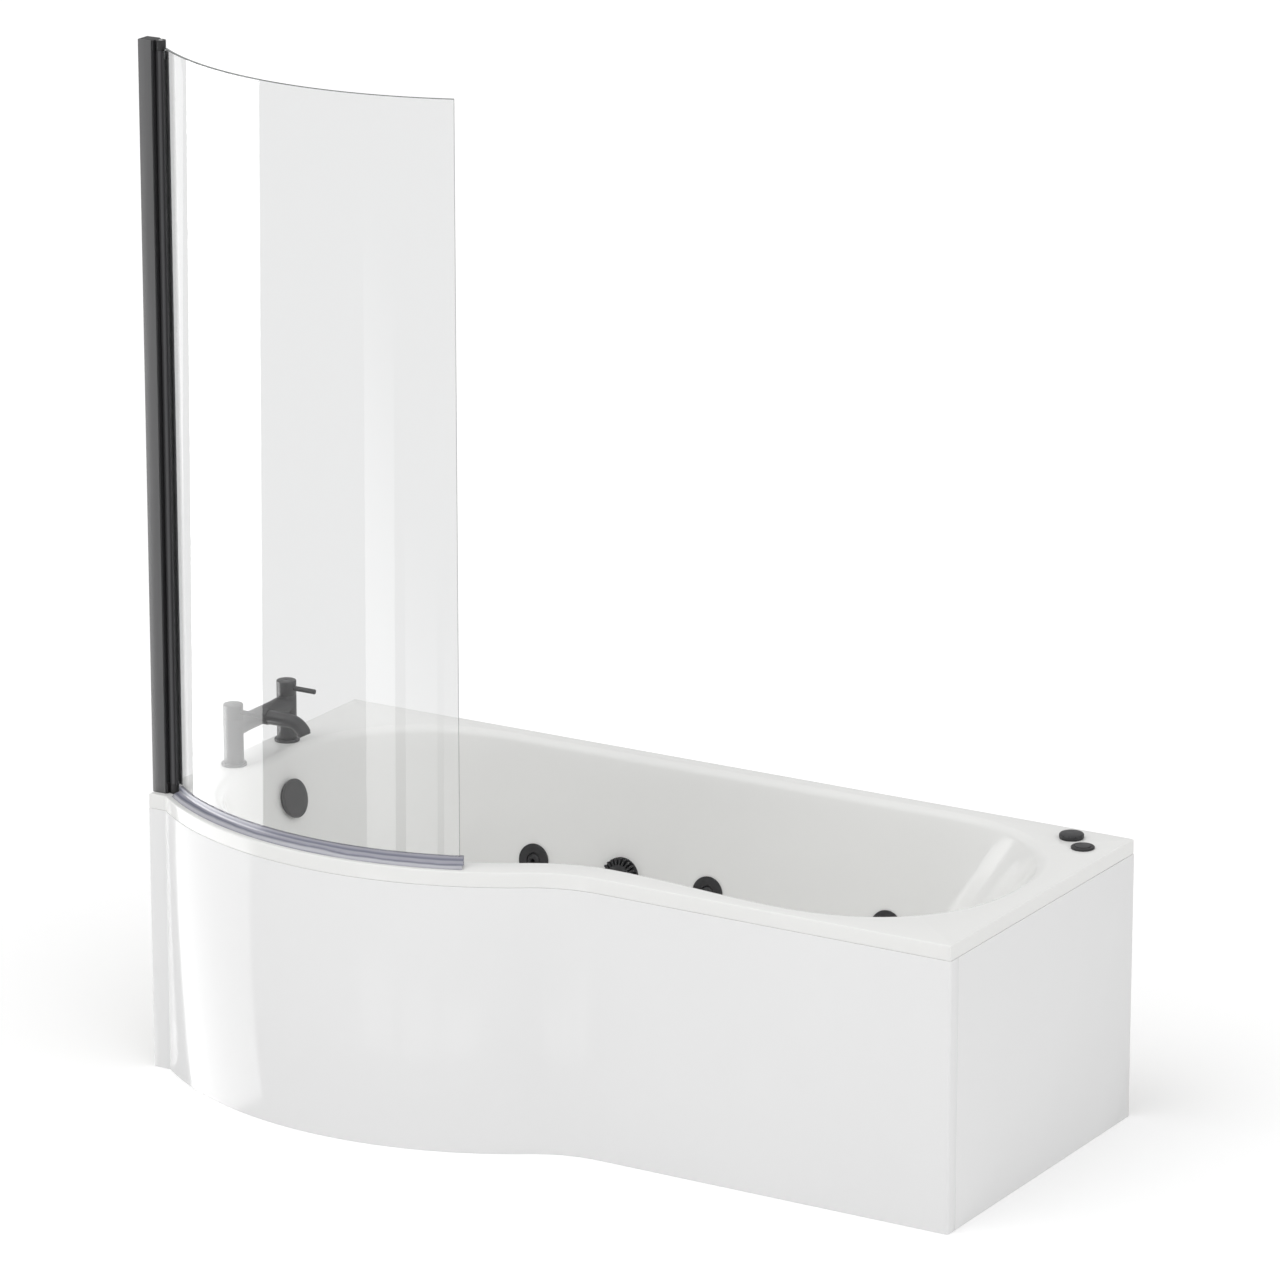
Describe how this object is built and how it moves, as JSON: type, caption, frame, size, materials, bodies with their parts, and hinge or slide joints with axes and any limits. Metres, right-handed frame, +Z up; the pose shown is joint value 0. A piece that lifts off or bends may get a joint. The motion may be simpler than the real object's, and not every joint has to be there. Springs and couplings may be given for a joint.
{
  "type": "p shaped shower bath",
  "caption": "P-shaped jetted shower bath with front and end panels, curved pivoting glass screen, deck filler with lever handles, jets, overflow-worked waste and pump.",
  "frame": {"origin": "floor level under the middle of the bath's bounding box", "axes": "+X from the tap end to the sloping head end, +Y to the long wall side, +Z up"},
  "size_m": [1.7016, 0.8514, 1.97],
  "materials": {
    "acrylic": "gloss",
    "panel_acrylic": "gloss",
    "timber": "raw",
    "galvanised": "galvanised",
    "zinc": "zinc plated",
    "foot_rubber": "matt",
    "black_plastic": "matt",
    "black_fitting": "satin",
    "black_filler": "matt powder coat",
    "black_profile": "satin anodised",
    "cable_grey": "matt",
    "white_pvc": "satin",
    "clear_hose": "clear",
    "nut_plastic": "matt",
    "motor": "cast, painted",
    "volute": "moulded",
    "brass": "turned",
    "steel_pin": "ground",
    "glass": "clear",
    "gasket": "matt",
    "seal_vinyl": "clear"
  },
  "bodies": {
    "bath": {"bath_shell": "acrylic", "base_board": "timber", "rim_battens": "timber", "leg_channels": "galvanised", "leg_rods": "zinc", "leg_nuts": "zinc", "foot_pads": "foot_rubber", "front_panel": "panel_acrylic", "end_panel": "panel_acrylic", "panel_rails": "timber", "waste_flange": "black_fitting", "waste_body": "black_plastic", "waste_trap": "black_plastic", "overflow_body": "black_plastic", "overflow_pipe": "black_plastic", "plug_cable": "cable_grey", "jet_bezels": "black_fitting", "jet_housings": "white_pvc", "jet_locknuts": "white_pvc", "suction_cover": "black_fitting", "suction_housing": "white_pvc", "suction_pipe": "white_pvc", "pump_motor": "motor", "pump_volute": "volute", "pump_base": "timber", "pump_unions": "white_pvc", "water_manifold": "white_pvc", "air_manifold": "clear_hose", "pneumatic_tube": "cable_grey", "air_control_body": "black_plastic", "start_button_body": "black_plastic", "deck_nuts": "nut_plastic", "tap_body": "black_filler", "tap_spout": "black_filler", "tap_aerator": "black_plastic", "tap_valves": "brass", "tap_flanges": "black_filler", "tap_tails": "brass", "wall_profile": "black_profile", "adjust_profile": "black_profile", "profile_screws": "zinc", "hinge_blocks": "black_plastic", "hinge_pins": "steel_pin"},
    "screen": {"pivot_post": "black_profile", "post_bushes": "black_plastic", "glass_panel": "glass", "glazing_gasket": "gasket", "bottom_seal": "seal_vinyl"},
    "handle_hot": {"tap_handle_hot": "black_filler"},
    "handle_cold": {"tap_handle_cold": "black_filler"},
    "air_knob": {"air_control_knob": "black_fitting"},
    "start_push": {"start_button": "black_fitting"},
    "overflow_turner": {"overflow_knob": "black_fitting"},
    "plug": {"waste_plug": "black_fitting"},
    "jet_1": {"jet_nozzle_1": "black_fitting"},
    "jet_2": {"jet_nozzle_2": "black_fitting"},
    "jet_3": {"jet_nozzle_3": "black_fitting"},
    "jet_4": {"jet_nozzle_4": "black_fitting"},
    "jet_5": {"jet_nozzle_5": "black_fitting"},
    "jet_6": {"jet_nozzle_6": "black_fitting"}
  },
  "joints": [
    {"name": "screen_swing", "type": "hinge", "parent": "bath", "child": "screen", "pos_m": [-0.81075, -0.24625, 1.255], "axis": [0, 0, 1], "range_deg": [-65, 80]},
    {"name": "hot_turn", "type": "hinge", "parent": "bath", "child": "handle_hot", "pos_m": [-0.81475, -0.04425, 0.646], "axis": [0, 0, 1], "range_deg": [-90, 0]},
    {"name": "cold_turn", "type": "hinge", "parent": "bath", "child": "handle_cold", "pos_m": [-0.81475, 0.13575, 0.646], "axis": [0, 0, 1], "range_deg": [0, 90]},
    {"name": "air_turn", "type": "hinge", "parent": "bath", "child": "air_knob", "pos_m": [0.74925, 0.37175, 0.546], "axis": [0, 0, 1], "range_deg": [0, 180]},
    {"name": "start_press", "type": "slide", "parent": "bath", "child": "start_push", "axis": [0, 0, -1], "range_m": [0, 0.002], "stiffness_N_per_m": 800, "springref_m": -0.001},
    {"name": "overflow_turn", "type": "hinge", "parent": "bath", "child": "overflow_turner", "pos_m": [-0.75672, 0.05975, 0.453], "axis": [0.9708, 0, 0.2397], "range_deg": [0, 100]},
    {"name": "plug_lift", "type": "slide", "parent": "bath", "child": "plug", "axis": [0, 0, 1], "range_m": [0, 0.012]},
    {"name": "jet_turn_1", "type": "hinge", "parent": "bath", "child": "jet_1", "pos_m": [-0.39075, 0.34508, 0.31], "axis": [0, -0.9859, 0.1674], "continuous": true},
    {"name": "jet_turn_2", "type": "hinge", "parent": "bath", "child": "jet_2", "pos_m": [-0.00575, 0.34508, 0.31], "axis": [0, -0.9859, 0.1674], "continuous": true},
    {"name": "jet_turn_3", "type": "hinge", "parent": "bath", "child": "jet_3", "pos_m": [0.37925, 0.34508, 0.31], "axis": [0, -0.9859, 0.1674], "continuous": true},
    {"name": "jet_turn_4", "type": "hinge", "parent": "bath", "child": "jet_4", "pos_m": [-0.46271, -0.30752, 0.31], "axis": [0.1368, 0.9737, 0.1821], "continuous": true},
    {"name": "jet_turn_5", "type": "hinge", "parent": "bath", "child": "jet_5", "pos_m": [-0.16009, -0.27036, 0.31], "axis": [-0.3683, 0.9117, 0.1821], "continuous": true},
    {"name": "jet_turn_6", "type": "hinge", "parent": "bath", "child": "jet_6", "pos_m": [0.3292, -0.18753, 0.31], "axis": [0.1182, 0.9762, 0.1821], "continuous": true}
  ],
  "couplings": [
    {"joint": "plug_lift", "follows": "overflow_turn", "m_per_rad": 0.0068}
  ]
}
